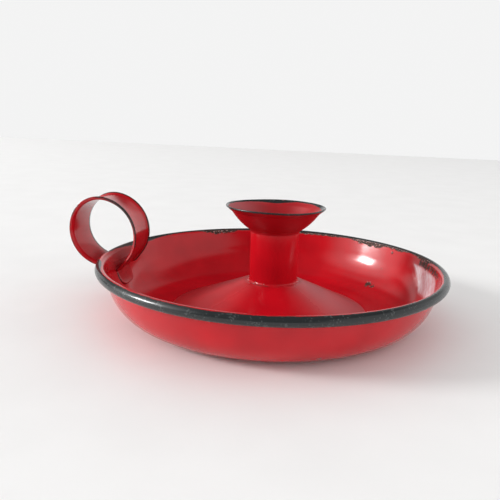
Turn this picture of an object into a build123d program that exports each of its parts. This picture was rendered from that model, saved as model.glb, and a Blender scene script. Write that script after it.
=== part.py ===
from build123d import *
import os
from math import asin, cos, degrees, radians, sin, sqrt

# Chamberstick with finger loop: four pressed pieces of enamelled sheet steel.
# The origin is the centre of the ring that the pan stands on. +Z is up, and the finger loop is on -X.
# Lengths are in millimetres and angles in degrees.

# Sheet, seams and cuts
sheet = 0.8  # steel with its enamel on both faces
seam_gap = 0.1  # between faces that are welded or brazed
overrun = 3.0  # how far a cut runs past what it cuts

# Pan
rim_radius = 84.8  # out to the curled edge
pan_height = 26.6  # up to the top of the curled edge
curl_radius = 2.2  # outside of the curled edge
curl_sweep = 300.0
upright_length = 4.5  # straight stretch of wall between its round and the curl
wall_lean = 12.0  # outwards, where the wall meets the curl
floor_width = 5.8  # from the foot of the raised middle out to the wall's round
crown_height = 15.9  # up to the flat top of the raised middle
crown_radius = 14.2
crown_round = 4.0
cone_round = 9.0  # where the raised middle meets the floor

# Candle tube
candle_radius = 11.0  # a household candle
candle_play = 0.2
tube_length = 26.3  # up from the crown
flange_width = 1.0  # outside the tube, round its foot
flange_round = 0.5

# Drip cup
collar_length = 0.9  # straight neck round the end of the tube
collar_lap = 1.2  # how far the neck reaches down from the tube's end
collar_round = 1.5
bowl_height = 8.7  # from the neck's top up to the brim
bowl_width = 8.6  # from the neck out to the brim
bowl_sag = 0.6  # how far the bowl bellies out
lip_height = 2.2  # the brim's turned-out lip
lip_width = 2.8
lip_round = 2.0

# Finger loop
strip_width = 20.8
strip_depth = 2.1  # the web with its edges, which curve away from the finger
edge_turn = 70.0  # how far each edge curves
leg_drop = 9.1  # from the pan's top down to where the leg meets the wall's inside
leg_length = 8.6
leg_slope = 52.0
inner_arc_radius = 17.4
inner_arc_sweep = 116.0
top_arc_radius = 12.5
top_arc_sweep = 71.0
curl_clearance = 0.2  # under the curled edge
tab_length = 9.0
tab_width = 17.5
tab_corner = 5.0
tab_drop = 0.3  # from the finger's side of the strip down to the top of a tab

# Sizes that follow from these
lean = radians(wall_lean)
curl_centre = (rim_radius - curl_radius, pan_height - curl_radius)
wall_top = (curl_centre[0] - curl_radius * cos(lean), curl_centre[1] + curl_radius * sin(lean))
round_top = (wall_top[0] - upright_length * sin(lean), wall_top[1] - upright_length * cos(lean))
wall_round = (round_top[1] - sheet) / (1 - sin(lean))
wall_centre = (round_top[0] - wall_round * cos(lean), sheet + wall_round)
cone_radius = wall_centre[0] - floor_width
leg_foot_height = pan_height - leg_drop
inner_seat = wall_round - seam_gap
outer_seat = wall_round + sheet + seam_gap
tube_radius = candle_radius + candle_play + sheet
tube_top = crown_height + tube_length
neck_radius = tube_radius + seam_gap + sheet

os.makedirs("parts", exist_ok=True)


def arc_band(plane, centre, inside, outside, start, sweep):
    """A face between two arcs about one centre, from a start angle through a sweep."""
    with BuildSketch(plane) as band:
        with BuildLine():
            low = CenterArc(centre, inside, start, sweep)
            high = CenterArc(centre, outside, start, sweep)
            Line(low @ 0, high @ 0)
            Line(low @ 1, high @ 1)
        make_face()
    return band.sketch


def seat_radius(seat, height):
    """How far from the pan's axis the wall's seat lies at a height."""
    return wall_centre[0] + sqrt(seat**2 - (wall_centre[1] - height) ** 2)


def seat_angle(seat, height):
    """Where a height lies on the wall's round: an angle from level, negative below it."""
    return -degrees(asin((wall_centre[1] - height) / seat))


# Pan: the line is the upper face, from the axis to the top of the wall, where the curl begins
with BuildPart() as pan:
    with BuildSketch(Plane.XZ):
        with BuildLine():
            FilletPolyline(
                (0, crown_height),
                (crown_radius, crown_height),
                (cone_radius, sheet),
                (wall_centre[0], sheet),
                radius=[crown_round, cone_round],
            )
            wall = JernArc((wall_centre[0], sheet), (1, 0), wall_round, 90 - wall_lean)
            Line(wall @ 1, wall_top)
            offset(amount=sheet, side=Side.RIGHT)
        make_face()
    revolve(axis=Axis.Z)
    curl = arc_band(Plane.XZ, curl_centre, curl_radius - sheet, curl_radius, 180 - wall_lean, -curl_sweep)
    revolve(curl, axis=Axis.Z)

# Candle tube: the line is the outer face, from the flange's edge to the top
with BuildPart() as candle_tube:
    with BuildSketch(Plane.XZ):
        with BuildLine():
            FilletPolyline(
                (tube_radius + flange_width, crown_height + sheet),
                (tube_radius, crown_height + sheet),
                (tube_radius, tube_top),
                radius=flange_round,
            )
            offset(amount=sheet, side=Side.LEFT)
        make_face()
    revolve(axis=Axis.Z)

# Drip cup: the line is the outer face, from the neck's lower edge to the lip
neck_bottom = tube_top - collar_lap
neck_top = neck_bottom + collar_length
brim = (neck_radius + bowl_width, neck_top + bowl_height)
mouth = (brim[0] + lip_width, brim[1] + lip_height)
with BuildPart() as drip_cup:
    with BuildSketch(Plane.XZ):
        with BuildLine() as cup_line:
            Line((neck_radius, neck_bottom), (neck_radius, neck_top))
            SagittaArc((neck_radius, neck_top), brim, -bowl_sag)
            Line(brim, mouth)
            fillet(cup_line.vertices().sort_by(Axis.Y)[1], collar_round)
            fillet(cup_line.vertices().sort_by(Axis.Y)[-2], lip_round)
            offset(amount=sheet, side=Side.LEFT)
        make_face()
    revolve(axis=Axis.Z)

# Finger loop: the path is the finger's side of the strip, drawn outwards from the pan's axis and upwards
loop_plane = Plane(origin=(0, 0, 0), x_dir=(-1, 0, 0), z_dir=(0, 1, 0))
leg_foot = (seat_radius(inner_seat, leg_foot_height), leg_foot_height)
outer_foot_height = curl_centre[1] - curl_radius - curl_clearance
outer_foot = (seat_radius(outer_seat, outer_foot_height), outer_foot_height)
with BuildLine() as loop_path:
    leg = PolarLine(leg_foot, leg_length, 180 - leg_slope)
    inner_arc = JernArc(leg @ 1, leg % 1, inner_arc_radius, -inner_arc_sweep)
    top_arc = JernArc(inner_arc @ 1, inner_arc % 1, top_arc_radius, -top_arc_sweep)
    outer_arc = TangentArc(top_arc @ 1, outer_foot, tangent=top_arc % 1)


def across(stretch):
    """The plane across the strip at the start of a stretch, with its second axis away from the finger."""
    start = loop_plane.from_local_coords(stretch @ 0)
    heading = loop_plane.from_local_coords(stretch % 0)
    return Plane(origin=start, x_dir=(0, -1, 0), z_dir=heading)


def strip_section(plane):
    """The strip's section: a flat web between two edges that curve away from the finger."""
    turn = radians(edge_turn)
    edge_radius = strip_depth / (1 - cos(turn))
    tip = (-strip_width / 2, strip_depth)
    web_end = (strip_width / 2 - edge_radius * sin(turn), 0)
    with BuildSketch(plane) as section:
        with BuildLine():
            first_edge = JernArc(tip, (cos(turn), -sin(turn)), edge_radius, edge_turn)
            Line(first_edge @ 1, web_end)
            JernArc(web_end, (1, 0), edge_radius, edge_turn)
            offset(amount=sheet, side=Side.LEFT)
        make_face()
    return section.sketch


def bend_axis(arc):
    """The axis that an arc of the loop turns about."""
    return Axis(loop_plane.from_local_coords(arc.arc_center), (0, -1, 0))


def tab_plate(seat, inside, outside, top_height):
    """A tab that lies along a seat of the wall's round, with its lower corners rounded."""
    middle = radians(seat_angle(seat, top_height)) - (tab_drop + tab_length / 2) / seat
    facing = Plane(
        origin=(-wall_centre[0], 0, wall_centre[1]), x_dir=(0, -1, 0), z_dir=(-cos(middle), 0, sin(middle))
    )
    with BuildPart() as plate:
        with BuildSketch(facing) as outline:
            Rectangle(tab_width, tab_length)
            fillet(outline.vertices().group_by(Axis.Y)[0], tab_corner)
        extrude(amount=outside + overrun)
        band = arc_band(Plane.XZ, wall_centre, inside, outside, -90, 90)
        revolve(band, axis=Axis.Z, mode=Mode.INTERSECT)
    return plate.part


inner_tab = tab_plate(inner_seat, inner_seat - sheet, inner_seat, leg_foot_height)
outer_tab = tab_plate(outer_seat, outer_seat, outer_seat + sheet, outer_foot_height)
outer_sweep = degrees(outer_arc.length / outer_arc.radius)
leg_cut = arc_band(Plane.XZ, wall_centre, inner_seat, inner_seat + overrun, -90, 90)
with BuildPart() as finger_loop:
    extrude(strip_section(across(leg).offset(-strip_depth)), amount=leg_length + strip_depth)
    revolve(strip_section(across(inner_arc)), axis=bend_axis(inner_arc), revolution_arc=inner_arc_sweep)
    revolve(leg_cut, axis=Axis.Z, mode=Mode.SUBTRACT)
    revolve(strip_section(across(top_arc)), axis=bend_axis(top_arc), revolution_arc=top_arc_sweep)
    revolve(strip_section(across(outer_arc)), axis=bend_axis(outer_arc), revolution_arc=outer_sweep)
    add(inner_tab)
    add(outer_tab)

pan.part.label = "pan"
candle_tube.part.label = "candle_tube"
drip_cup.part.label = "drip_cup"
finger_loop.part.label = "finger_loop"
export_step(pan.part, "parts/pan.step")
export_step(candle_tube.part, "parts/candle_tube.step")
export_step(drip_cup.part, "parts/drip_cup.step")
export_step(finger_loop.part, "parts/finger_loop.step")
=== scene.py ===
import math

import bmesh
import bpy
import numpy as np
from mathutils import Matrix, Vector


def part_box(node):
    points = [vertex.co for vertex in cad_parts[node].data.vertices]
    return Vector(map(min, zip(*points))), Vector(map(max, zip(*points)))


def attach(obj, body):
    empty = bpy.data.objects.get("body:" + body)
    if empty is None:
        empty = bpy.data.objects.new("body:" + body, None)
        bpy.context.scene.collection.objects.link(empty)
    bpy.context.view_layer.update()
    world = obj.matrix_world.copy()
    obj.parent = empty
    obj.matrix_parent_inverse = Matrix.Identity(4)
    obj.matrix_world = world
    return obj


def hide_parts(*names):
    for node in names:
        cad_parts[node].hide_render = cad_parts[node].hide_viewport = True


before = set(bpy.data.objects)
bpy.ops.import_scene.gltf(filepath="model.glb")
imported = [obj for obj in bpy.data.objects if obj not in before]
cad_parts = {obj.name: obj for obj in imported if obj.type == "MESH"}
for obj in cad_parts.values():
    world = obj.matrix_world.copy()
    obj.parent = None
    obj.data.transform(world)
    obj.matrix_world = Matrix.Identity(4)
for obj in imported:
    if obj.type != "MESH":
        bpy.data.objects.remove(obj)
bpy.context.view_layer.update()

# Chamberstick with finger loop: red enamelled sheet steel with a charcoal rim, chipped and worn.
# Outlines are (distance from the pan's axis, height). Lengths are in millimetres and angles in degrees,
# unless a comment says otherwise, and meshes are in metres.
MM = 0.001


def reach(node):
    """How far a node reaches from the pan's axis, its lowest point and its highest."""
    low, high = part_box(node)
    return min(high.x, high.y) / MM, low.z / MM, high.z / MM


# Sheet
sheet = 0.8
seam_gap = 0.1  # between faces that are welded or brazed

# Pan
rim_radius, _, pan_height = reach("pan")
curl_radius = 2.2
curl_sweep = 300.0
upright_length = 8.0  # straight stretch of wall between its round and the curl
wall_lean = 15.5  # outwards, where the wall meets the curl
wall_flow = 0.2  # how much flatter than an arc the wall's round begins and ends
floor_width = 7.2  # from the foot of the raised middle out to the wall's round
crown_radius = 14.2
crown_round = 4.0
cone_round = 9.0  # where the raised middle meets the floor
foot_offset = 1.6  # of the raised middle's foot, towards the loop
lean = math.radians(wall_lean)
curl_centre = np.array((rim_radius - curl_radius, pan_height - curl_radius))
wall_top = curl_centre + curl_radius * np.array((-math.cos(lean), math.sin(lean)))
round_top = wall_top - upright_length * np.array((math.sin(lean), math.cos(lean)))
wall_round = (round_top[1] - sheet) / (1 - math.sin(lean))
wall_centre = np.array((round_top[0] - wall_round * math.cos(lean), sheet + wall_round))
cone_radius = wall_centre[0] - floor_width

# Candle tube
flange_radius, crown_height, tube_top = reach("candle_tube")
flange_width = 1.0
foot_edge = 0.1  # thickness of the flange's edge
foot_rise = 0.3  # from that edge up to where the tube begins
foot_round = 0.9
tube_radius = flange_radius - flange_width

# Drip cup
_, neck_bottom, mouth_top = reach("drip_cup")
collar_length = 0.9
collar_round = 1.5
bowl_height = 8.7
bowl_width = 8.6
bowl_sag = 0.6
bow_shares = (0.25, 0.5, 0.75)  # where the bowl's bow has corners, which are rounded
bow_round = 20.0
lip_height = 2.2
lip_width = 2.8
lip_round = 2.0
neck_taper = 1.8  # height over which the neck runs into the tube
taper_share = 0.95
neck_radius = tube_radius + seam_gap + sheet

# Finger loop
strip_width = 20.8
dish_turn = 7.0  # how far the web alone turns from its middle to an edge
edge_turn = 68.0  # how far the strip turns in all
edge_share = 0.18  # of the half width, which an edge takes
leg_drop = 9.1  # from the pan's top down to where the leg meets the wall's inside
leg_length = 8.6
leg_slope = 52.0
inner_arc_radius = 17.4
inner_arc_sweep = 116.0
top_arc_radius = 12.5
top_arc_sweep = 71.0
curl_clearance = 0.2
tab_length = 9.0
tab_width = 17.5
tab_corner = 5.0
tab_bevel = 1.3
bevel_share = 0.85  # of the thickness, which the bevel takes off
crease_length = 0.8
turn_length = 3.5  # in which the edges rise from a flat tab

# Fineness of the meshes
lathe_steps = 320
line_step = 1.05
arc_step = 8.0
arc_least_steps = 4
strip_step = 0.4
wall_points = 33
tab_points = 25
section_points = 29
sheet_end_points = 9
strip_end_points = 7
least_length = 1e-6
weld_length = 1e-7  # metres

# Unevenness of the pressed sheet: (waves round the axis, size, phase in radians)
rim_waves = [(2, 0.12, 0.4), (3, 0.1, 2.0), (5, 0.06, 1.0)]
mouth_waves = [(2, 0.12, 1.1), (3, 0.08, 0.2)]
lip_waves = [(2, 0.1, 0.3), (4, 0.06, 2.1)]
bead_waves = [(5, 0.06, 0.3), (9, 0.06, 1.2), (14, 0.05, 2.6), (23, 0.04, 0.7)]
bead_height = 2.2  # over which the bead at the tube's foot is uneven

# Zones are (azimuth, half width), and in a list each comes after its size. The pan's charcoal band begins
# at a distance past the start of the curl:
band_edge = 2.0
band_lean = -1.4  # makes the band wider at the back and narrower at the front
band_shift = -0.4  # makes it wider at the right and narrower at the left
band_zones = [(3.0, (191, 8)), (-2.3, (163, 22)), (-0.9, (203, 10))]
under_reach = 2.5  # the sheet's other face has no band before this
clear_of_band = 20.0  # how far away the band counts as where there is none
worn_reach = 7.0  # how far down the wall its wear goes
worn_zones = [(1.0, (50, 13)), (0.45, (35, 12)), (0.5, (17, 13)), (0.9, (121, 12)), (0.35, (80, 35))]
faded_zone = (176, 26)

# A pale streaky reflection painted on the inside of the wall: its strength by azimuth, how far it turns with
# each millimetre of height, and the heights at which it begins, is full, begins to end and ends
reflection_places = [-13.0, -9.0, -1.0, 3.5, 6.0, 8.5, 12.0, 13.2]
reflection_shares = [0.0, 0.85, 1.0, 1.0, 0.55, 0.7, 1.0, 0.0]
reflection_slant = 1.04
reflection_heights = (9.5, 12.0, 20.5, 22.5)

# A pale sheen painted on one side of the raised middle, and its dull sides
cone_sheen = 0.21
sheen_side = (5, 75)
dull_zones = [(1.0, (5, 75)), (1.0, (178, 80))]

# The seam at the tube's foot
foot_seam = -0.1
rusty_seam = 0.45
rusty_zone = (245, 50)
seam_red = 0.5

# The cup's charcoal lip, and the dull side of its inside, which has a pale sheen painted on it
lip_band = 0.3
mouth_band = 0.9
mouth_band_zones = [(1.5, (94, 30)), (0.5, (112, 60)), (1.1, (10, 40))]
mouth_dull_zone = (175, 80)
mouth_sheen = 0.17

# The loop's dark edges: near is the camera's side, and the near lip is worn round one place
far_trim = 0.25
# On the finger's side of the far lip the dark line is painted shade of the lip's bend
far_bend_shade = 2.9
far_red = 0.4
worn_trim = 1.1
near_seam = 0.45
far_seam = 0.1
trim_turn = 0.2  # the strip has these edges where it is turned up by more than this share
lip_wear_place = (74.0, 47.0)
lip_wear_reach = 17.0

# Chips down to the steel: (x, y, z) and size
pan_chips = [
    ((50.6, 45.8, 4.3), 1.8), ((52.6, 43.0, 4.2), 1.3), ((63.6, 48.5, 23.4), 0.8), ((25.5, -67.0, 5.6), 0.8),
    ((58.4, 50.0, 12.5), 0.2),
]
tube_chips = [
    ((-2.8, -12.4, 16.6), 0.8), ((-8.2, -9.8, 16.6), 0.5), ((-10.6, -5.8, 19.5), 0.1),
    ((-9.6, -7.4, 21.5), 0.1),
]
cup_chips = [((2.0, 24.0, 53.6), 0.8)]
loop_chips = [((-71.1, -10.1, 42.8), 1.0), ((-78.0, -8.6, 16.5), 0.6)]

# A chain of chips under the pan's rim: the azimuth of each, and its size
chain_radius = 80.2
chain_height = 23.7
chip_chain = [
    (18.0, 1.4), (15.5, 1.8), (13.0, 1.7), (10.5, 1.5), (8.0, 1.5), (5.5, 1.5), (3.0, 1.5), (0.5, 1.4),
    (-2.0, 1.2),
]

# Colours
red = (0.55, 0.005, 0.012, 1)
deep_red = (0.44, 0.004, 0.010, 1)
painted_edge_highlight = (0.55, 0.16, 0.15, 1)
# Pale colour of the painted reflection and sheen
painted_sheen_red = (0.84, 0.78, 0.82, 1)
charcoal = (0.020, 0.023, 0.024, 1)
# Dark edge colour of the loop, for its worn near lip and for the painted shade on its far lip
loop_wear_and_shade = (0.024, 0.014, 0.013, 1)
scuffed_grey = (0.075, 0.083, 0.083, 1)
worn_brown = (0.085, 0.030, 0.026, 1)
dark_red = (0.085, 0.008, 0.010, 1)
faded_coat = (0.13, 0.06, 0.055, 1)
ground_coat = (0.50, 0.30, 0.28, 1)
dark_flake = (0.16, 0.012, 0.010, 1)
steel = (0.016, 0.011, 0.009, 1)
rust = (0.11, 0.035, 0.016, 1)
floor_shade = (0.85, 0.845, 0.84, 1)
floor_light = (0.89, 0.885, 0.88, 1)

# Roughness of the red enamel, the colour of the edge, and how light the red is, which below 1 is painted
# shade
finishes = {
    "pan": (0.13, charcoal, 1.0),
    "candle_tube": (0.17, charcoal, 0.97),
    "drip_cup": (0.36, charcoal, 0.72),
    "finger_loop": (0.17, loop_wear_and_shade, 0.82),
}

# Enamel: sizes of its noise, and how finely that is divided
fine_size = 0.8
coarse_size = 3.5
broad_size = 18.0
plain_detail = 2.0
rough_detail = 3.0

# Enamel: how noise and wear move the border of the band. A range gives none below its first value, and all
# above its second
ragged_fine = 0.5
ragged_coarse = 1.1
ragged_wear = 2.5
black_range = (-0.1, 0.12)
beside_range = (-0.6, -0.2)
beside_grain = (-0.15, 0.15)
faded_grain = (-0.3, 0.2)

# Enamel: chips at given places, and crumbled enamel where the rim is worn
shake_size = 2.5
shake_reach = 4.0
chip_fine = 1.2
bare_range = (0.2, 0.5)
flaked_range = (-0.3, -0.1)
crumb_size = 1.9
crumb_noise = 6.5
crumb_fine = 3.0
crumb_coarse = 3.0
crumb_reach = 3.2
crumb_range = (0.3, 0.6)
crumb_wear = (0.1, 0.25)
crumb_stop = (0.2, 0.6)

# Enamel: how the colours meet, by noise, by the painted sheen and its streaks, and by wear of the band
tone_grain = (-0.25, 0.25)
# The pale line beside the band's inner edge is a painted highlight of the curl
edge_highlight_share = 0.15
streak_width = 1.6
streak_slant = 1.45
streak_bend = 0.4
streak_range = (-0.14, 0.12)
streaky_sheen = (0.25, 0.5)
streak_share = 0.6
streak_floor = 0.5
even_sheen = 0.6
rubbed_grain = (0.05, 0.3)
rubbed_share = 0.6
worn_edge_range = (0.15, 0.8)
worn_edge_grain = (-0.05, 0.15)
worn_edge_share = 0.6
faded_share = 0.8
flake_grain = (0.06, 0.2)
rust_grain = (-0.1, 0.25)
speckle_size = 0.7
speckle_range = (0.08, 0.14)

# Enamel: roughness, and heights of its unevenness
coarse_roughness = 0.06
dull_roughness = 0.36
band_roughness = 0.17
rubbed_roughness = 0.2
faded_roughness = 0.5
steel_roughness = 0.7
flow_height = 0.05
peel_height = 0.004
flake_depth = 0.06
bare_depth = 0.1
steel_height = 0.15
enamel_ior = 1.45

# Floor: half its width in metres, its tones and its fine grain
floor_half = 2.0
floor_tone_size = 40.0
floor_tone_range = (-0.4, 0.4)
floor_roughness = 0.6
floor_grain_size = 1.5
floor_grain_height = 0.03

# Light that gloss shows, where 1 is white
back_wall = 0.9
right_wall = 0.75
ceiling = 0.08
right_ceiling = 0.45
left_ceiling = 0.6
dim_corner = 0.15
camera_side = 0.05
window_glow = 2.1
window_halo = 3.0

# Where these begin and are full, by how far a direction points up, right, back or to the window
back_wall_up = (0.28, 0.42)
back_wall_back = (0.1, 0.35)
back_wall_right = (-0.92, -0.8)
right_wall_up = (0.55, 0.75)
right_wall_right = (0.4, 0.75)
left_ceiling_up = (0.42, 0.6)
left_ceiling_right = (-0.5, -0.3)
right_ceiling_right = (-0.05, 0.2)
ceiling_back = (-0.5, 0.3)
window_glow_range = (0.76, 0.985)
window_halo_range = (0.94, 0.994)

# Light that falls on everything else, where it begins and is full, and what the camera sees behind the floor
fill_low = 1.05
fill_front = 0.95
fill_right = 1.2
fill_left = 0.4
fill_front_above = 0.84
fill_back_above = 0.60
fill_front_back = (-0.8, -0.2)
fill_side_right = (0.2, 0.9)
fill_above_back = (-0.5, 0.5)
fill_above_up = (0.1, 0.7)
backdrop = 0.90

# Window: azimuth and elevation, and its distance and size in metres
window_from = (-168, 21)
window_distance = 5.0
window_width = 1.2
window_height = 1.1
window_radiance = 40.0

# Camera: place, directions, and focal length and image centre in the photograph's pixels
photo_px = 500
camera_place = (25.87, -263.78, 91.21)
camera_ahead = (-0.08957, 0.98042, -0.17537)
camera_right = (0.99420, 0.09854, 0.04312)
camera_focal_px = 545.5
camera_centre_px = (278.8, 224.9)
sensor_width = 36.0
clip_start = 0.01  # metres


def arc(centre, radius, start, sweep):
    """Points on a circle, from a start angle through a sweep."""
    by_angle = math.ceil(abs(sweep) / arc_step)
    by_length = math.ceil(math.radians(abs(sweep)) * radius / line_step)
    count = max(arc_least_steps, by_angle, by_length)
    angles = np.radians(start + np.linspace(0, sweep, count + 1))
    return np.column_stack((centre[0] + radius * np.cos(angles), centre[1] + radius * np.sin(angles)))


def rounded(corners, radii):
    """A line through corners, rounded at all but its ends."""
    corners = np.array(corners, float)
    line = [corners[:1]]
    for before, corner, after, radius in zip(corners, corners[1:], corners[2:], radii):
        back = (before - corner) / np.linalg.norm(before - corner)
        ahead = (after - corner) / np.linalg.norm(after - corner)
        half = math.acos(np.dot(back, ahead)) / 2
        middle = (back + ahead) / np.linalg.norm(back + ahead)
        centre = corner + middle * radius / math.sin(half)
        first = corner + back * radius / math.tan(half) - centre
        turn = math.copysign(180 - math.degrees(2 * half), back[1] * ahead[0] - back[0] * ahead[1])
        line.append(arc(centre, radius, math.degrees(math.atan2(first[1], first[0])), turn))
    line.append(corners[-1:])
    return np.concatenate(line)


def evened(line, step):
    """The same line with its long runs divided."""
    points = [line[:1]]
    for first, last in zip(line, line[1:]):
        length = np.linalg.norm(last - first)
        if length > least_length:
            shares = np.linspace(0, 1, max(1, math.ceil(length / step)) + 1)[1:, None]
            points.append(first + (last - first) * shares)
    return np.concatenate(points)


def lengths(line):
    """How far along a line each of its points is."""
    steps = np.linalg.norm(np.diff(line, axis=0), axis=1)
    return np.concatenate(([0.0], np.cumsum(steps)))


def headings(line):
    """The direction of a line at each of its points."""
    ahead = np.gradient(line, axis=0)
    return ahead / np.linalg.norm(ahead, axis=1)[:, None]


def smooth(value, low, high):
    """0 below low, 1 above high, and an even ease between them."""
    share = np.clip((value - low) / (high - low), 0, 1)
    return share * share * (3 - 2 * share)


def turned_line(slope):
    """A line of unit steps whose slope at its points, in radians, is given. Its first point is left out."""
    middle = (slope[1:] + slope[:-1]) / 2
    return np.cumsum(np.column_stack((np.cos(middle), np.sin(middle))), axis=0)


def sheet_outline(face, side, starts_on_axis):
    """Both faces of a sheet as one outline, with round ends. With each point goes how far along the first
    face it is, and 1 on the other face or 0 elsewhere."""
    run = lengths(face)
    ahead = headings(face)
    across = side * np.column_stack((ahead[:, 1], -ahead[:, 0])) * sheet
    other = face + across
    turn = np.linspace(0, math.pi, sheet_end_points)[1:-1, None]
    end = (face[-1] + other[-1]) / 2 - across[-1] / 2 * np.cos(turn) + ahead[-1] * sheet / 2 * np.sin(turn)
    parts = [face, end, other[::-1]]
    runs = [run, np.full(len(end), run[-1]), run[::-1]]
    faces = [np.zeros(len(face)), np.zeros(len(end)), np.ones(len(other))]
    if not starts_on_axis:
        start = (face[0] + other[0]) / 2 + across[0] / 2 * np.cos(turn) - ahead[0] * sheet / 2 * np.sin(turn)
        parts.append(start)
        runs.append(np.zeros(len(start)))
        faces.append(np.zeros(len(start)))
    return np.concatenate(parts), np.concatenate(runs), np.concatenate(faces)


def as_piece(name, points, quads, caps, marks):
    """A smooth mesh that stands for the node of the same name. Marks are named values at each point, for the
    material."""
    mesh = bpy.data.meshes.new(name + "_look")
    mesh.from_pydata((points * MM).tolist(), [], quads.tolist() + caps)
    for mark, values in marks.items():
        data = mesh.attributes.new(mark, "FLOAT", "POINT").data
        data.foreach_set("value", values.astype(np.float32).ravel())
    shape = bmesh.new()
    shape.from_mesh(mesh)
    bmesh.ops.remove_doubles(shape, verts=shape.verts, dist=weld_length)
    bmesh.ops.recalc_face_normals(shape, faces=shape.faces)
    shape.to_mesh(mesh)
    shape.free()
    mesh.polygons.foreach_set("use_smooth", [True] * len(mesh.polygons))
    piece = bpy.data.objects.new(name + "_look", mesh)
    bpy.context.scene.collection.objects.link(piece)
    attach(piece, "root")
    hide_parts(name)
    return piece


def lathe(name, outline, closed, form, marks):
    """Turns an outline about the pan's axis. form moves the points, and marks gives their named values."""
    turn = np.linspace(0, 2 * math.pi, lathe_steps, endpoint=False)
    radius = np.repeat(outline[:, :1], lathe_steps, axis=1)
    height = np.repeat(outline[:, 1:], lathe_steps, axis=1)
    azimuth = np.repeat(turn[None, :], len(outline), axis=0)
    radius, height = form(radius, height, azimuth)
    points = np.stack((radius * np.cos(azimuth), radius * np.sin(azimuth), height), axis=-1).reshape(-1, 3)
    ring = np.arange(len(outline) * lathe_steps).reshape(len(outline), lathe_steps)
    after = np.roll(ring, -1, axis=1)
    rows = len(outline) if closed else len(outline) - 1
    above = np.roll(ring, -1, axis=0)
    above_after = np.roll(after, -1, axis=0)
    quads = np.stack((ring, after, above_after, above), axis=-1)[:rows].reshape(-1, 4)
    return as_piece(name, points, quads, [], marks(azimuth))


def ripple(azimuth, waves):
    """A slow unevenness round the axis, from its waves. The azimuth is in radians."""
    return sum(size * np.sin(count * azimuth + phase) for count, size, phase in waves)


def zone(azimuth, centre, half_width):
    """1 at a centre, easing to 0 at a half width on both sides of it. The azimuth is in radians."""
    away = np.abs((np.degrees(azimuth) - centre + 180) % 360 - 180)
    return 1 - smooth(away, 0, half_width)


def zones(azimuth, rows):
    """What each of some (size, zone) gives at an azimuth."""
    return [size * zone(azimuth, *place) for size, place in rows]


def wall_line():
    """The inside of the wall, from the floor to the curl."""
    share = np.linspace(0, 1, wall_points)
    flow = wall_flow * np.sin(2 * math.pi * share) / (2 * math.pi)
    line = turned_line(math.radians(90 - wall_lean) * (share - flow))
    foot = np.array((wall_centre[0], sheet))
    return np.vstack((foot, foot + line * (round_top - foot) / line[-1], wall_top))


def along_wall(offset, height, run):
    """A stretch at a distance inside the wall's inner face, from a height downwards along a run."""
    line = wall_line()
    ahead = headings(line)
    line = line + offset * np.column_stack((-ahead[:, 1], ahead[:, 0]))
    at = lengths(line)
    top = np.interp(height, line[:, 1], at)
    stops = np.linspace(top, top - run, tab_points)
    return np.column_stack((np.interp(stops, at, line[:, 0]), np.interp(stops, at, line[:, 1])))


def make_pan():
    middle = rounded(
        [(0, crown_height), (crown_radius, crown_height), (cone_radius, sheet), (wall_centre[0], sheet)],
        [crown_round, cone_round],
    )
    curl = arc(curl_centre, curl_radius, 180 - wall_lean, -curl_sweep)
    before_curl = evened(np.concatenate((middle, wall_line()[1:])), line_step)
    outline, run, under = sheet_outline(np.concatenate((before_curl, curl[1:])), 1, True)
    at_radius, at_height = outline[:, :1], outline[:, 1:]
    past_wall = (run - lengths(before_curl)[-1])[:, None]
    underneath = under[:, None] > 0.5

    def form(radius, height, azimuth):
        rim_share = np.clip(height / pan_height, 0, 1) ** 2 * smooth(radius, cone_radius, rim_radius)
        on_floor = smooth(radius, cone_radius, wall_centre[0])
        foot_share = smooth(radius, crown_radius, cone_radius) * (1 - on_floor)
        radius = radius - foot_share * foot_offset * np.cos(azimuth)
        return radius, height + rim_share * ripple(azimuth, rim_waves)

    def marks(azimuth):
        edge = band_edge + band_lean * np.sin(azimuth) + band_shift * np.cos(azimuth)
        edge = edge + sum(zones(azimuth, band_zones))
        near_rim = smooth(past_wall, -worn_reach, 0)
        slanted = (np.degrees(azimuth) + 180) % 360 - 180 - reflection_slant * (at_height - reflection_heights[1])
        wall_reflection = np.interp(slanted, reflection_places, reflection_shares) * smooth(at_height, *reflection_heights[:2])
        wall_reflection = wall_reflection * (1 - smooth(at_height, *reflection_heights[2:])) * (at_radius > wall_centre[0])
        on_cone = smooth(at_radius, crown_radius - crown_round, crown_radius) * (at_radius < cone_radius)
        scuff = wall_reflection + cone_sheen * on_cone * zone(azimuth, *sheen_side)
        return {
            "band": np.where(underneath & (past_wall < under_reach), -clear_of_band, past_wall - edge),
            "wear": near_rim * np.maximum.reduce(zones(azimuth, worn_zones)),
            "fade": near_rim * zone(azimuth, *faded_zone),
            "scuff": np.where(underneath, 0, scuff),
            "dull": on_cone * sum(zones(azimuth, dull_zones)),
        }

    return lathe("pan", outline, False, form, marks)


def make_tube():
    foot = (flange_radius, crown_height + foot_edge)
    side_top = (tube_radius, tube_top - sheet / 2)
    face = rounded([foot, (tube_radius, foot[1] + foot_rise), side_top], [foot_round])
    top = arc((tube_radius - sheet / 2, tube_top - sheet / 2), sheet / 2, 0, 180)
    bore = np.array([(tube_radius - sheet, crown_height), (flange_radius, crown_height)])
    outline = evened(np.concatenate((face, top[1:], bore)), line_step)

    def form(radius, height, azimuth):
        foot_share = 1 - smooth(height, crown_height + foot_edge, crown_height + bead_height)
        outside = smooth(radius, tube_radius - sheet / 2, tube_radius)
        return radius + foot_share * outside * ripple(azimuth, bead_waves), height

    def marks(azimuth):
        seam = foot_seam + rusty_seam * zone(azimuth, *rusty_zone)
        return {"band": seam - lengths(outline)[:, None], "reddish": np.full(azimuth.shape, seam_red)}

    return lathe("candle_tube", outline, True, form, marks)


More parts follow.
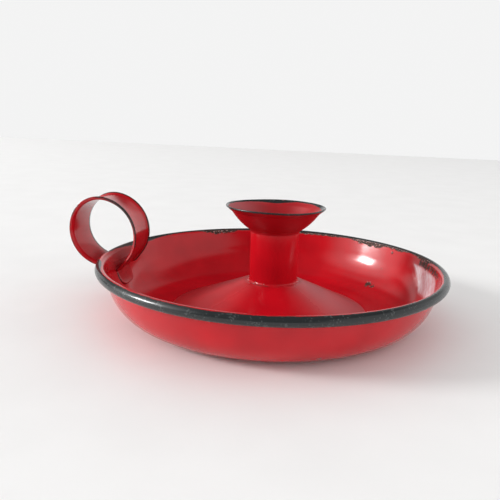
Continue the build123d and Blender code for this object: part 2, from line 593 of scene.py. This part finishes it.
def make_cup():
    neck_top = neck_bottom + collar_length
    brim = np.array((neck_radius + bowl_width, neck_top + bowl_height))
    mouth = brim + np.array((lip_width, lip_height))
    neck = np.array((neck_radius, neck_top))
    chord = brim - neck
    outward = np.array((chord[1], -chord[0])) / np.linalg.norm(chord)
    bow = [neck + chord * share + outward * 4 * bowl_sag * share * (1 - share) for share in bow_shares]
    corners = [(neck_radius, neck_bottom), neck, *bow, brim, mouth]
    radii = [collar_round] + [bow_round] * len(bow) + [lip_round]
    outline, run, inside = sheet_outline(evened(rounded(corners, radii), line_step), -1, False)
    to_lip = (run - run.max())[:, None]
    inside = inside[:, None]

    def form(radius, height, azimuth):
        lip_share = smooth(height, neck_top, mouth_top)
        taper = 1 - smooth(height, neck_bottom - sheet / 2, neck_bottom + neck_taper)
        radius = radius - taper * taper_share * np.clip(radius - neck_radius + sheet, 0, None)
        radius = radius + lip_share * ripple(azimuth, mouth_waves)
        return radius, height + lip_share * ripple(azimuth, lip_waves)

    def marks(azimuth):
        inner_band = mouth_band + sum(zones(azimuth, mouth_band_zones))
        dull = inside * zone(azimuth, *mouth_dull_zone)
        return {
            "band": to_lip + np.where(inside > 0.5, inner_band, lip_band),
            "dull": dull,
            "scuff": mouth_sheen * dull,
        }

    return lathe("drip_cup", outline, True, form, marks)


def turned_arc(start, heading, radius, sweep):
    """An arc that turns to the right from a point and a heading, with the heading at its end."""
    to_centre = np.array((heading[1], -heading[0]))
    centre = start + to_centre * radius
    angle = math.degrees(math.atan2(-to_centre[1], -to_centre[0]))
    line = arc(centre, radius, angle, -sweep)
    turn = math.radians(-sweep)
    ahead = np.array((
        heading[0] * math.cos(turn) - heading[1] * math.sin(turn),
        heading[0] * math.sin(turn) + heading[1] * math.cos(turn),
    ))
    return line, ahead


def arc_to(start, heading, end):
    """The arc that leaves a point along a heading and ends at another point, turning to the right."""
    across = end - start
    right = np.array((heading[1], -heading[0]))
    radius = np.dot(across, across) / (2 * np.dot(across, right))
    centre = start + right * radius
    first, last = start - centre, end - centre
    turn = math.atan2(first[0] * last[1] - first[1] * last[0], np.dot(first, last))
    sweep = turn if turn < 0 else turn - 2 * math.pi
    return arc(centre, radius, math.degrees(math.atan2(first[1], first[0])), math.degrees(sweep))


def loop_path():
    """The finger's side of the strip, from the lower end of the inner tab round the loop to the end of the
    outer one."""
    inner_tab = along_wall(seam_gap, pan_height - leg_drop, tab_length)[::-1]
    slope = math.radians(leg_slope)
    heading = np.array((-math.cos(slope), math.sin(slope)))
    leg_top = inner_tab[-1] + heading * leg_length
    inner_arc, heading = turned_arc(leg_top, heading, inner_arc_radius, inner_arc_sweep)
    top_arc, heading = turned_arc(inner_arc[-1], heading, top_arc_radius, top_arc_sweep)
    outer_foot_height = curl_centre[1] - curl_radius - curl_clearance
    outer_tab = along_wall(-sheet - seam_gap, outer_foot_height, tab_length)
    outer_arc = arc_to(top_arc[-1], heading, outer_tab[0])
    loop = (leg_top[None, :], inner_arc[1:], top_arc[1:], outer_arc[1:])
    return eased(np.concatenate((inner_tab, *loop, outer_tab[1:])))


def eased(path):
    """The path at even steps, with its two creases rounded."""
    run = lengths(path)
    even = np.linspace(0, run[-1], round(run[-1] / strip_step) + 1)
    spread = round(crease_length / strip_step)
    weights = np.hanning(2 * spread + 1)
    weights /= weights.sum()
    columns = []
    for values in path.T:
        padded = np.pad(np.interp(even, run, values), spread, mode="reflect", reflect_type="odd")
        columns.append(np.convolve(padded, weights, "valid"))
    return np.column_stack(columns)


def strip_section(half_width, turned):
    """The strip's outline at one place: its half width and how far its edges are curved, from 0 to 1.
    Points are (across, away from the finger), and with each goes its distance from the strip's edge and
    whether it is on the finger's side."""
    share = np.linspace(0, 1, section_points)
    tilt = dish_turn * share + (edge_turn - dish_turn) * smooth(share, 1 - edge_share, 1)
    tilt = np.radians(tilt) * turned
    line = turned_line(tilt)
    length = (half_width - sheet / 2) / line[-1, 0]
    edge = (1 - share) * length * (len(share) - 1)
    mid = np.vstack(((0, 0), line * length)) + np.array((0, sheet / 2))
    away = np.column_stack((-np.sin(tilt), np.cos(tilt))) * sheet / 2
    bevel = 1 - np.sqrt(1 - (1 - np.clip(edge / tab_bevel, 0, 1)) ** 2)
    rise = (1 - bevel_share * (1 - turned) * bevel)[:, None]
    turn = np.linspace(0, math.pi, strip_end_points)[1:-1, None]
    ahead = np.array((math.cos(tilt[-1]), math.sin(tilt[-1]))) * sheet / 2 * rise[-1]
    tip = mid[-1] + away[-1] * (rise[-1] * (1 - np.cos(turn)) - 1) + ahead * np.sin(turn)
    half = np.concatenate((mid - away, tip, (mid + away * (2 * rise - 1))[::-1]))
    half_edge = np.concatenate((edge, np.zeros(len(tip)), edge[::-1]))
    half_side = np.concatenate((np.ones(len(edge)), np.zeros(len(tip) + len(edge))))
    mirrored = half[1:-1][::-1] * np.array((-1, 1))
    edges = np.concatenate((half_edge, half_edge[1:-1][::-1]))
    return np.concatenate((half, mirrored)), edges, np.concatenate((half_side, half_side[1:-1][::-1])) > 0.5


def make_loop():
    path = loop_path()
    run = lengths(path)
    ahead = headings(path)
    away = np.column_stack((-ahead[:, 1], ahead[:, 0]))
    from_end = np.minimum(run, run[-1] - run)
    turned = smooth(from_end, tab_length - crease_length / 2, tab_length + turn_length)
    corner = np.clip(tab_corner - from_end, 0, tab_corner)
    tab_half = tab_width / 2 - tab_corner + np.sqrt(tab_corner**2 - corner**2)
    widened = smooth(from_end, tab_length - crease_length, tab_length + turn_length / 2)
    half_width = tab_half + (strip_width / 2 - tab_half) * widened
    from_wear = np.linalg.norm(path - np.array(lip_wear_place), axis=1)
    worn = 1 - smooth(from_wear, 0, lip_wear_reach)
    rings, bands, reds = [], [], []
    for place, out, half, share, wear in zip(path, away, half_width, turned, worn):
        section, edge, on_finger_side = strip_section(half, share)
        near = section[:, 0] < 0
        spot = place + out * section[:, 1:]
        rings.append(np.column_stack((-spot[:, 0], section[:, 0], spot[:, 1])))
        reds.append(np.where(near, 1 - wear, far_red))
        if share > trim_turn:
            # The far lip's dark line on the finger's side is painted shade; the near lip's is wear
            width = np.where(near, worn_trim * wear, np.where(on_finger_side, far_bend_shade, far_trim))
            bands.append(width - edge)
        else:
            seam = np.where(near, near_seam, far_seam) - edge
            bands.append(np.where(on_finger_side, -clear_of_band, seam))
    points = np.concatenate(rings)
    ring = np.arange(len(points)).reshape(len(rings), -1)
    after = np.roll(ring, -1, axis=1)
    quads = np.stack((ring[:-1], after[:-1], after[1:], ring[1:]), axis=-1).reshape(-1, 4)
    caps = [ring[0].tolist()[::-1], ring[-1].tolist()]
    marks = {"band": np.concatenate(bands), "reddish": np.concatenate(reds)}
    return as_piece("finger_loop", points, quads, caps, marks)


class Nodes:
    """A node tree and short forms of the nodes that it is made of."""

    def __init__(self, tree):
        self.tree = tree
        self.tree.nodes.clear()
        self.coordinates = self.tree.nodes.new("ShaderNodeTexCoord")
        self.place = self.coordinates.outputs["Object"]

    def put(self, socket, value):
        if isinstance(value, bpy.types.NodeSocket):
            self.tree.links.new(value, socket)
        else:
            socket.default_value = value

    def fill(self, sockets, values):
        for socket, value in zip(sockets, values):
            self.put(socket, value)

    def math(self, operation, *values):
        node = self.tree.nodes.new("ShaderNodeMath")
        node.operation = operation
        self.fill(node.inputs, values)
        return node.outputs[0]

    def vector(self, operation, *values):
        node = self.tree.nodes.new("ShaderNodeVectorMath")
        node.operation = operation
        self.fill(node.inputs, values)
        return node.outputs

    def times(self, first, second):
        return self.math("MULTIPLY", first, second)

    def rest(self, share):
        """1 less a share."""
        return self.math("SUBTRACT", 1.0, share)

    def attribute(self, name):
        node = self.tree.nodes.new("ShaderNodeAttribute")
        node.attribute_name = name
        return node.outputs["Fac"]

    def noise(self, size, detail):
        """A noise node with features of a size."""
        node = self.tree.nodes.new("ShaderNodeTexNoise")
        self.put(node.inputs["Scale"], 1 / (size * MM))
        self.put(node.inputs["Detail"], detail)
        return node

    def grain(self, size, detail=plain_detail):
        """Noise from about -0.5 to 0.5."""
        node = self.noise(size, detail)
        self.put(node.inputs["Vector"], self.place)
        return self.math("SUBTRACT", node.outputs["Fac"], 0.5)

    def streaks(self, size, slant):
        """Noise from about -0.5 to 0.5 in streaks of a width, that climb along Y and Z."""
        node = self.noise(size, plain_detail)
        node.noise_dimensions = "1D"
        self.put(node.inputs["W"], self.vector("DOT_PRODUCT", self.place, (0, 1, -slant))["Value"])
        return self.math("SUBTRACT", node.outputs["Fac"], 0.5)

    def shaken(self, size, reach):
        """The place, moved about by noise of a size."""
        node = self.noise(size, rough_detail)
        self.put(node.inputs["Vector"], self.place)
        shift = self.vector("SUBTRACT", node.outputs["Color"], (0.5, 0.5, 0.5))["Vector"]
        return self.vector("MULTIPLY_ADD", shift, (reach * MM,) * 3, self.place)["Vector"]

    def depth(self, place, centre, size):
        """How deep a place is inside a ball."""
        distance = self.vector("DISTANCE", place, Vector(centre) * MM)["Value"]
        return self.math("MULTIPLY_ADD", distance, -1 / MM, size)

    def step(self, value, low, high):
        """0 below low, 1 above high, and an even ease between them."""
        node = self.tree.nodes.new("ShaderNodeMapRange")
        node.interpolation_type = "SMOOTHSTEP"
        for name, number in (("Value", value), ("From Min", low), ("From Max", high)):
            self.put(node.inputs[name], number)
        return node.outputs["Result"]

    def mix(self, share, first, second):
        """A colour between two, by a share."""
        node = self.tree.nodes.new("ShaderNodeMix")
        node.data_type = "RGBA"
        self.fill((node.inputs[0], node.inputs[6], node.inputs[7]), (share, first, second))
        return node.outputs[2]

    def blend(self, share, first, second):
        """A number between two, by a share."""
        node = self.tree.nodes.new("ShaderNodeMix")
        self.fill((node.inputs[0], node.inputs[2], node.inputs[3]), (share, first, second))
        return node.outputs[0]

    def finish(self, colour, roughness, height, **constants):
        """Joins the colour, roughness and height to a surface."""
        bump = self.tree.nodes.new("ShaderNodeBump")
        self.put(bump.inputs["Height"], height)
        self.put(bump.inputs["Distance"], MM)
        surface = self.tree.nodes.new("ShaderNodeBsdfPrincipled")
        self.put(surface.inputs["Base Color"], colour)
        self.put(surface.inputs["Roughness"], roughness)
        self.put(surface.inputs["Normal"], bump.outputs["Normal"])
        for name, value in constants.items():
            self.put(surface.inputs[name], value)
        output = self.tree.nodes.new("ShaderNodeOutputMaterial")
        self.tree.links.new(surface.outputs["BSDF"], output.inputs["Surface"])


def new_material(name):
    material = bpy.data.materials.new(name)
    material.use_nodes = True
    return material, Nodes(material.node_tree)


def toned(colour, share):
    return tuple(value * share for value in colour[:3]) + (1,)


def enamel(name, chips, red_roughness, edge_coat, shaded_tone):
    """Glossy red enamel with a charcoal edge, and chips that show the ground coat and rusty steel."""
    material, s = new_material(name)
    fine = s.grain(fine_size, rough_detail)
    coarse = s.grain(coarse_size, rough_detail)
    broad = s.grain(broad_size)
    edge = s.attribute("band")
    wear = s.attribute("wear")
    fade = s.attribute("fade")
    scuff = s.attribute("scuff")

    ragged = s.math("MULTIPLY_ADD", fine, ragged_fine, s.times(coarse, ragged_coarse))
    ragged = s.times(ragged, s.math("MULTIPLY_ADD", wear, ragged_wear, 1.0))
    band = s.math("ADD", edge, ragged)
    black = s.step(band, *black_range)
    beside = s.times(s.step(band, *beside_range), s.step(coarse, *beside_grain))
    faded = s.times(fade, s.step(s.math("ADD", coarse, broad), *faded_grain))

    shaken = s.shaken(shake_size, shake_reach)
    deepest = s.depth(shaken, *chips[0])
    for chip in chips[1:]:
        deepest = s.math("MAXIMUM", deepest, s.depth(shaken, *chip))
    chip_edge = s.math("MULTIPLY_ADD", fine, chip_fine, deepest)
    crumbs = s.math("MULTIPLY_ADD", fine, crumb_fine, s.times(coarse, crumb_coarse))
    crumbs = s.math("MULTIPLY_ADD", s.grain(crumb_size), crumb_noise, crumbs)
    crumbs = s.math("MULTIPLY_ADD", wear, crumb_reach, s.times(crumbs, wear))
    chipped = s.times(s.step(s.math("ADD", edge, crumbs), *crumb_range), s.step(wear, *crumb_wear))
    chipped = s.times(chipped, s.rest(s.step(edge, *crumb_stop)))
    bare = s.math("MAXIMUM", s.step(chip_edge, *bare_range), chipped)
    flaked = s.math("MAXIMUM", s.step(chip_edge, *flaked_range), chipped)

    red_coat = s.mix(s.step(broad, *tone_grain), toned(deep_red, shaded_tone), toned(red, shaded_tone))
    # A pale line painted beside the band's inner edge, as a highlight of the curl
    red_coat = s.mix(s.times(beside, edge_highlight_share), red_coat, painted_edge_highlight)
    # Painted sheen: a pale reflection painted on the pan's wall, and sheen on the cone and the cup's inside,
    # in streaks
    streaks = s.math("MULTIPLY_ADD", coarse, streak_bend, s.streaks(streak_width, streak_slant))
    streaks = s.math("MULTIPLY_ADD", s.step(streaks, *streak_range), streak_share, streak_floor)
    streaky = s.blend(s.step(scuff, *streaky_sheen), even_sheen, streaks)
    red_coat = s.mix(s.times(scuff, streaky), red_coat, painted_sheen_red)

    rubbed = s.step(s.math("ADD", fine, coarse), *rubbed_grain)
    worn_edge = s.times(s.rest(s.step(band, *worn_edge_range)), s.step(coarse, *worn_edge_grain))
    black_coat = s.mix(s.times(rubbed, rubbed_share), edge_coat, scuffed_grey)
    black_coat = s.mix(s.times(worn_edge, worn_edge_share), black_coat, worn_brown)
    black_coat = s.mix(s.attribute("reddish"), black_coat, dark_red)
    black_coat = s.mix(s.times(faded, faded_share), black_coat, faded_coat)

    coat = s.mix(black, red_coat, black_coat)
    flake = s.mix(s.step(fine, *flake_grain), dark_flake, ground_coat)
    metal = s.mix(s.step(fine, *rust_grain), steel, rust)
    # Pale specks of ground coat in the crumbled enamel, partly real and partly painted glints
    specks_and_glints = s.mix(s.step(s.grain(speckle_size), *speckle_range), metal, ground_coat)
    colour = s.mix(bare, s.mix(flaked, coat, flake), s.mix(chipped, metal, specks_and_glints))

    roughness = s.math("MULTIPLY_ADD", coarse, coarse_roughness, red_roughness)
    roughness = s.math("MULTIPLY_ADD", s.attribute("dull"), dull_roughness, roughness)
    roughness = s.blend(black, roughness, s.math("MULTIPLY_ADD", rubbed, rubbed_roughness, band_roughness))
    roughness = s.blend(fade, roughness, faded_roughness)
    roughness = s.blend(bare, roughness, steel_roughness)

    flow = s.math("MULTIPLY_ADD", broad, flow_height, s.times(coarse, peel_height))
    sunk = s.math("MULTIPLY_ADD", flaked, -flake_depth, s.times(bare, -bare_depth))
    rough_steel = s.times(s.times(fine, steel_height), bare)
    height = s.math("ADD", s.math("ADD", flow, sunk), rough_steel)
    s.finish(colour, roughness, height, IOR=enamel_ior)
    return material


def make_floor():
    """A plain pale table top."""
    mesh = bpy.data.meshes.new("floor")
    corners = [(x * floor_half, y * floor_half, 0) for x, y in ((-1, -1), (1, -1), (1, 1), (-1, 1))]
    mesh.from_pydata(corners, [], [(0, 1, 2, 3)])
    floor = bpy.data.objects.new("floor", mesh)
    bpy.context.scene.collection.objects.link(floor)
    material, s = new_material("pale_table")
    shade = s.step(s.grain(floor_tone_size, rough_detail), *floor_tone_range)
    grain = s.times(s.grain(floor_grain_size), floor_grain_height)
    s.finish(s.mix(shade, floor_shade, floor_light), floor_roughness, grain)
    mesh.materials.append(material)


def towards(azimuth, elevation):
    """The direction towards an azimuth and elevation."""
    a, e = math.radians(azimuth), math.radians(elevation)
    return Vector((math.cos(a) * math.cos(e), math.sin(a) * math.cos(e), math.sin(e)))


def area_light(name, azimuth, elevation, distance, width, height, radiance):
    """A soft light that faces the object from a direction, with an even radiance. Its sizes are in metres."""
    light = bpy.data.lights.new(name, "AREA")
    light.shape = "RECTANGLE"
    light.size = width
    light.size_y = height
    light.energy = radiance * math.pi * width * height
    back = towards(azimuth, elevation)
    lamp = bpy.data.objects.new(name, light)
    lamp.location = back * distance
    lamp.rotation_euler = (-back).to_track_quat("-Z", "Y").to_euler()
    bpy.context.scene.collection.objects.link(lamp)


def room_light(n, right, back, up, to_window):
    """What gloss shows: a room that is pale behind the object and to its right, dim above, dark on the
    camera's side and brighter round the window."""
    behind = n.times(n.step(back, *back_wall_back), n.step(right, *back_wall_right))
    behind = n.times(n.times(n.rest(n.step(up, *back_wall_up)), behind), back_wall)
    under_ceiling = n.rest(n.step(up, *right_wall_up))
    beside = n.times(n.times(under_ceiling, n.step(right, *right_wall_right)), right_wall)
    left_above = n.blend(n.step(up, *left_ceiling_up), dim_corner, left_ceiling)
    right_above = n.blend(n.step(up, *right_wall_up), right_ceiling, ceiling)
    above = n.blend(n.step(right, *left_ceiling_right), left_above, ceiling)
    above = n.blend(n.step(right, *right_ceiling_right), above, right_above)
    above = n.blend(n.step(back, *ceiling_back), camera_side, above)
    glow = n.times(n.step(to_window, *window_glow_range), window_glow)
    glow = n.math("MULTIPLY_ADD", n.step(to_window, *window_halo_range), window_halo, glow)
    return n.math("ADD", n.math("MAXIMUM", n.math("MAXIMUM", behind, beside), above), glow)


def fill_light(n, right, back, up):
    """The light that falls on everything else, from low down all round and from above."""
    left = n.times(right, -1.0)
    low = n.blend(n.step(back, *fill_front_back), fill_front, fill_low)
    low = n.math("MULTIPLY_ADD", n.step(right, *fill_side_right), fill_right, low)
    low = n.math("MULTIPLY_ADD", n.step(left, *fill_side_right), fill_left, low)
    above = n.blend(n.step(back, *fill_above_back), fill_front_above, fill_back_above)
    return n.blend(n.step(up, *fill_above_up), low, above)


def make_world():
    """A white room that the camera sees plain."""
    world = bpy.data.worlds.new("room")
    bpy.context.scene.world = world
    world.use_nodes = True
    n = Nodes(world.node_tree)
    direction = n.coordinates.outputs["Generated"]
    split = n.tree.nodes.new("ShaderNodeSeparateXYZ")
    n.put(split.inputs[0], direction)
    right, back, up = split.outputs
    to_window = n.vector("DOT_PRODUCT", direction, towards(*window_from))["Value"]
    room = room_light(n, right, back, up, to_window)
    fill = fill_light(n, right, back, up)
    rays = n.tree.nodes.new("ShaderNodeLightPath").outputs
    gloss = n.math("MAXIMUM", rays["Is Glossy Ray"], rays["Is Transmission Ray"])
    level = n.blend(rays["Is Camera Ray"], n.blend(gloss, fill, room), backdrop)
    background = n.tree.nodes.new("ShaderNodeBackground")
    n.put(background.inputs["Color"], (1, 1, 1, 1))
    n.put(background.inputs["Strength"], level)
    output = n.tree.nodes.new("ShaderNodeOutputWorld")
    n.tree.links.new(background.outputs[0], output.inputs["Surface"])


def make_camera():
    """The photograph's camera, from the fit of the rim, the base and the tube."""
    data = bpy.data.cameras.new("camera")
    data.sensor_width = sensor_width
    data.lens = camera_focal_px * sensor_width / photo_px
    data.shift_x = (photo_px / 2 - camera_centre_px[0]) / photo_px
    data.shift_y = (camera_centre_px[1] - photo_px / 2) / photo_px
    data.clip_start = clip_start
    camera = bpy.data.objects.new("camera", data)
    back = -Vector(camera_ahead).normalized()
    up = back.cross(Vector(camera_right)).normalized()
    turned = Matrix((up.cross(back), up, back)).transposed().to_4x4()
    camera.matrix_world = Matrix.Translation(Vector(camera_place) * MM) @ turned
    bpy.context.scene.collection.objects.link(camera)
    bpy.context.scene.camera = camera


chain_up = Vector((0, 0, chain_height))
rim_chips = [(towards(azimuth, 0) * chain_radius + chain_up, size) for azimuth, size in chip_chain]
pieces = {
    "pan": (make_pan(), pan_chips + rim_chips),
    "candle_tube": (make_tube(), tube_chips),
    "drip_cup": (make_cup(), cup_chips),
    "finger_loop": (make_loop(), loop_chips),
}
for node, (piece, chips) in pieces.items():
    piece.data.materials.append(enamel(node + "_enamel", chips, *finishes[node]))
make_floor()
make_world()
area_light("window", *window_from, window_distance, window_width, window_height, window_radiance)
make_camera()
bpy.context.scene.view_settings.view_transform = "Standard"
